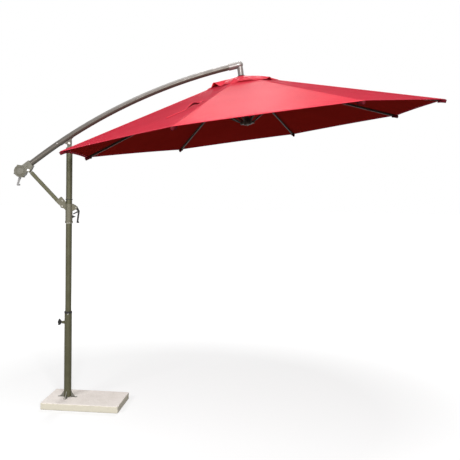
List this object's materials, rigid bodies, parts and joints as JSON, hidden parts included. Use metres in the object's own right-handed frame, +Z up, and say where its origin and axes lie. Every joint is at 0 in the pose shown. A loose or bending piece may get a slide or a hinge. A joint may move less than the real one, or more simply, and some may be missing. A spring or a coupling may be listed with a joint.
{
  "type": "cantilever patio umbrella",
  "caption": "Cantilever patio umbrella on a stone slab: swivelling mast, tilting boom with strut and slider, winch crank, folding ribs and a vented cloth canopy.",
  "frame": {"origin": "on the mast's axis at the floor, on the underside of the base slab", "axes": "+X along the boom from the mast to the canopy, +Y to the side of the crank, +Z up"},
  "size_m": [3.1984, 2.7776, 2.7528],
  "materials": {
    "stone": "matte",
    "bronze_paint": "satin",
    "zinc": "satin",
    "black_plastic": "matte",
    "grey_housing": "satin",
    "cast_alloy": "satin",
    "shoe_rubber": "matte",
    "cord": "matte",
    "red_cloth": "matte"
  },
  "bodies": {
    "base": {"base_slab": "stone", "foot_gussets": "bronze_paint", "anchor_bolts": "zinc", "lower_pole": "bronze_paint", "pole_collar": "black_plastic"},
    "clamp": {"clamp_knob": "black_plastic", "knob_stud": "zinc"},
    "mast": {"upper_pole": "bronze_paint", "mast_head": "cast_alloy"},
    "slider": {"slider_sleeve": "bronze_paint", "brake_shoe": "shoe_rubber", "slider_bracket": "bronze_paint", "bracket_pins": "zinc", "lever_stop": "black_plastic"},
    "lever": {"clamp_lever": "black_plastic"},
    "boom": {"boom_tube": "bronze_paint", "boom_saddle": "bronze_paint", "pivot_bolt": "zinc", "housing_front": "grey_housing", "housing_back": "grey_housing", "housing_screws": "zinc", "strut_bolt": "zinc", "boom_elbow": "cast_alloy", "sheave_axle": "zinc", "canopy_pole": "bronze_paint", "top_hub": "black_plastic", "lift_cord": "cord"},
    "strut": {"strut_tube": "bronze_paint", "strut_ends": "cast_alloy"},
    "winch": {"winch_shaft": "zinc", "cord_spool": "black_plastic", "crank_arm": "cast_alloy"},
    "grip": {"crank_grip": "black_plastic"},
    "sheave": {"cord_sheave": "black_plastic"},
    "runner": {"runner_hub": "black_plastic", "runner_cord": "cord"},
    "rib_arm_1": {"rib_1": "bronze_paint", "canopy_panel_1": "red_cloth"},
    "stay_1": {"stretcher_1": "bronze_paint"},
    "rib_arm_2": {"rib_2": "bronze_paint", "canopy_panel_2": "red_cloth"},
    "stay_2": {"stretcher_2": "bronze_paint"},
    "rib_arm_3": {"rib_3": "bronze_paint", "canopy_panel_3": "red_cloth"},
    "stay_3": {"stretcher_3": "bronze_paint"},
    "rib_arm_4": {"rib_4": "bronze_paint", "canopy_panel_4": "red_cloth"},
    "stay_4": {"stretcher_4": "bronze_paint"},
    "rib_arm_5": {"rib_5": "bronze_paint", "canopy_panel_5": "red_cloth", "tie_strap": "red_cloth"},
    "stay_5": {"stretcher_5": "bronze_paint"},
    "rib_arm_6": {"rib_6": "bronze_paint", "canopy_panel_6": "red_cloth"},
    "stay_6": {"stretcher_6": "bronze_paint"},
    "rib_arm_7": {"rib_7": "bronze_paint", "canopy_panel_7": "red_cloth"},
    "stay_7": {"stretcher_7": "bronze_paint"},
    "rib_arm_8": {"rib_8": "bronze_paint", "canopy_panel_8": "red_cloth"},
    "stay_8": {"stretcher_8": "bronze_paint"}
  },
  "joints": [
    {"name": "mast_swivel", "type": "hinge", "parent": "base", "child": "mast", "pos_m": [0, 0, 0.731], "axis": [0, 0, 1], "continuous": true},
    {"name": "clamp_turn", "type": "hinge", "parent": "base", "child": "clamp", "pos_m": [0, 0, 0.656], "axis": [-0.9903, 0.1392, 0], "range_deg": [0, 720]},
    {"name": "boom_tilt", "type": "hinge", "parent": "mast", "child": "boom", "pos_m": [0, 0, 2.075], "axis": [0, 1, 0], "range_deg": [-10, 5]},
    {"name": "slider_slide", "type": "slide", "parent": "mast", "child": "slider", "axis": [0, 0, 1], "range_m": [-0.09117, 0.04559]},
    {"name": "strut_swing", "type": "hinge", "parent": "boom", "child": "strut", "pos_m": [-0.31004, 0, 1.85754], "axis": [0, 1, 0], "range_deg": [-9.21, 18.41]},
    {"name": "lever_turn", "type": "hinge", "parent": "slider", "child": "lever", "pos_m": [0.056, 0, 1.573], "axis": [0, -1, 0], "range_deg": [0, 75]},
    {"name": "crank_turn", "type": "hinge", "parent": "boom", "child": "winch", "pos_m": [-0.37385, 0, 1.84813], "axis": [0, -1, 0], "range_deg": [0, 1571.44]},
    {"name": "grip_spin", "type": "hinge", "parent": "winch", "child": "grip", "pos_m": [-0.40846, 0.033, 1.74161], "axis": [0, 1, 0], "continuous": true},
    {"name": "sheave_turn", "type": "hinge", "parent": "boom", "child": "sheave", "pos_m": [1.3053, 0, 2.72438], "axis": [0, 1, 0], "range_deg": [0, 1835.22]},
    {"name": "runner_slide", "type": "slide", "parent": "boom", "child": "runner", "axis": [0.1607, 0, -0.987], "range_m": [0, 0.44843]},
    {"name": "canopy_fold", "type": "hinge", "parent": "boom", "child": "rib_arm_1", "pos_m": [1.37932, 0.0176, 2.62135], "axis": [-0.3777, 0.9239, -0.0615], "range_deg": [0, 61.76], "deforming": ["canopy_panel_1"]},
    {"name": "rib_fold_2", "type": "hinge", "parent": "boom", "child": "rib_arm_2", "pos_m": [1.35475, 0.0425, 2.61735], "axis": [-0.9119, 0.3827, -0.1485], "range_deg": [0, 61.76], "deforming": ["canopy_panel_2"]},
    {"name": "rib_fold_3", "type": "hinge", "parent": "boom", "child": "rib_arm_3", "pos_m": [1.32, 0.0425, 2.61169], "axis": [-0.9119, -0.3827, -0.1485], "range_deg": [0, 61.76], "deforming": ["canopy_panel_3"]},
    {"name": "rib_fold_4", "type": "hinge", "parent": "boom", "child": "rib_arm_4", "pos_m": [1.29543, 0.0176, 2.60769], "axis": [-0.3777, -0.9239, -0.0615], "range_deg": [0, 61.76], "deforming": ["canopy_panel_4"]},
    {"name": "rib_fold_5", "type": "hinge", "parent": "boom", "child": "rib_arm_5", "pos_m": [1.29543, -0.0176, 2.60769], "axis": [0.3777, -0.9239, 0.0615], "range_deg": [0, 61.76], "deforming": ["canopy_panel_5", "tie_strap"]},
    {"name": "rib_fold_6", "type": "hinge", "parent": "boom", "child": "rib_arm_6", "pos_m": [1.32, -0.0425, 2.61169], "axis": [0.9119, -0.3827, 0.1485], "range_deg": [0, 61.76], "deforming": ["canopy_panel_6"]},
    {"name": "rib_fold_7", "type": "hinge", "parent": "boom", "child": "rib_arm_7", "pos_m": [1.35475, -0.0425, 2.61735], "axis": [0.9119, 0.3827, 0.1485], "range_deg": [0, 61.76], "deforming": ["canopy_panel_7"]},
    {"name": "rib_fold_8", "type": "hinge", "parent": "boom", "child": "rib_arm_8", "pos_m": [1.37932, -0.0176, 2.62135], "axis": [0.3777, 0.9239, 0.0615], "range_deg": [0, 61.76], "deforming": ["canopy_panel_8"]},
    {"name": "stay_swing_1", "type": "hinge", "parent": "rib_arm_1", "child": "stay_1", "pos_m": [1.72727, 0.15529, 2.55282], "axis": [-0.3777, 0.9239, -0.0615], "range_deg": [-111.79, 0]},
    {"name": "stay_swing_2", "type": "hinge", "parent": "rib_arm_2", "child": "stay_2", "pos_m": [1.51051, 0.37491, 2.51752], "axis": [-0.9119, 0.3827, -0.1485], "range_deg": [-111.79, 0]},
    {"name": "stay_swing_3", "type": "hinge", "parent": "rib_arm_3", "child": "stay_3", "pos_m": [1.20397, 0.37491, 2.4676], "axis": [-0.9119, -0.3827, -0.1485], "range_deg": [-111.79, 0]},
    {"name": "stay_swing_4", "type": "hinge", "parent": "rib_arm_4", "child": "stay_4", "pos_m": [0.9872, 0.15529, 2.43229], "axis": [-0.3777, -0.9239, -0.0615], "range_deg": [-111.79, 0]},
    {"name": "stay_swing_5", "type": "hinge", "parent": "rib_arm_5", "child": "stay_5", "pos_m": [0.9872, -0.15529, 2.43229], "axis": [0.3777, -0.9239, 0.0615], "range_deg": [-111.79, 0]},
    {"name": "stay_swing_6", "type": "hinge", "parent": "rib_arm_6", "child": "stay_6", "pos_m": [1.20397, -0.37491, 2.4676], "axis": [0.9119, -0.3827, 0.1485], "range_deg": [-111.79, 0]},
    {"name": "stay_swing_7", "type": "hinge", "parent": "rib_arm_7", "child": "stay_7", "pos_m": [1.51051, -0.37491, 2.51752], "axis": [0.9119, 0.3827, 0.1485], "range_deg": [-111.79, 0]},
    {"name": "stay_swing_8", "type": "hinge", "parent": "rib_arm_8", "child": "stay_8", "pos_m": [1.72727, -0.15529, 2.55282], "axis": [0.3777, 0.9239, 0.0615], "range_deg": [-111.79, 0]}
  ],
  "couplings": [
    {"joint": "slider_slide", "follows": "boom_tilt", "m_per_rad": 0.52236},
    {"joint": "strut_swing", "follows": "boom_tilt", "ratio": -1.841},
    {"joint": "stay_swing_1", "follows": "canopy_fold", "ratio": -1.8102},
    {"joint": "rib_fold_2", "follows": "canopy_fold", "ratio": 1},
    {"joint": "stay_swing_2", "follows": "canopy_fold", "ratio": -1.8102},
    {"joint": "rib_fold_3", "follows": "canopy_fold", "ratio": 1},
    {"joint": "stay_swing_3", "follows": "canopy_fold", "ratio": -1.8102},
    {"joint": "rib_fold_4", "follows": "canopy_fold", "ratio": 1},
    {"joint": "stay_swing_4", "follows": "canopy_fold", "ratio": -1.8102},
    {"joint": "rib_fold_5", "follows": "canopy_fold", "ratio": 1},
    {"joint": "stay_swing_5", "follows": "canopy_fold", "ratio": -1.8102},
    {"joint": "rib_fold_6", "follows": "canopy_fold", "ratio": 1},
    {"joint": "stay_swing_6", "follows": "canopy_fold", "ratio": -1.8102},
    {"joint": "rib_fold_7", "follows": "canopy_fold", "ratio": 1},
    {"joint": "stay_swing_7", "follows": "canopy_fold", "ratio": -1.8102},
    {"joint": "rib_fold_8", "follows": "canopy_fold", "ratio": 1},
    {"joint": "stay_swing_8", "follows": "canopy_fold", "ratio": -1.8102},
    {"joint": "runner_slide", "follows": "canopy_fold", "m_per_rad": 0.41603},
    {"joint": "crank_turn", "follows": "canopy_fold", "ratio": 25.445},
    {"joint": "sheave_turn", "follows": "canopy_fold", "ratio": 29.717}
  ]
}
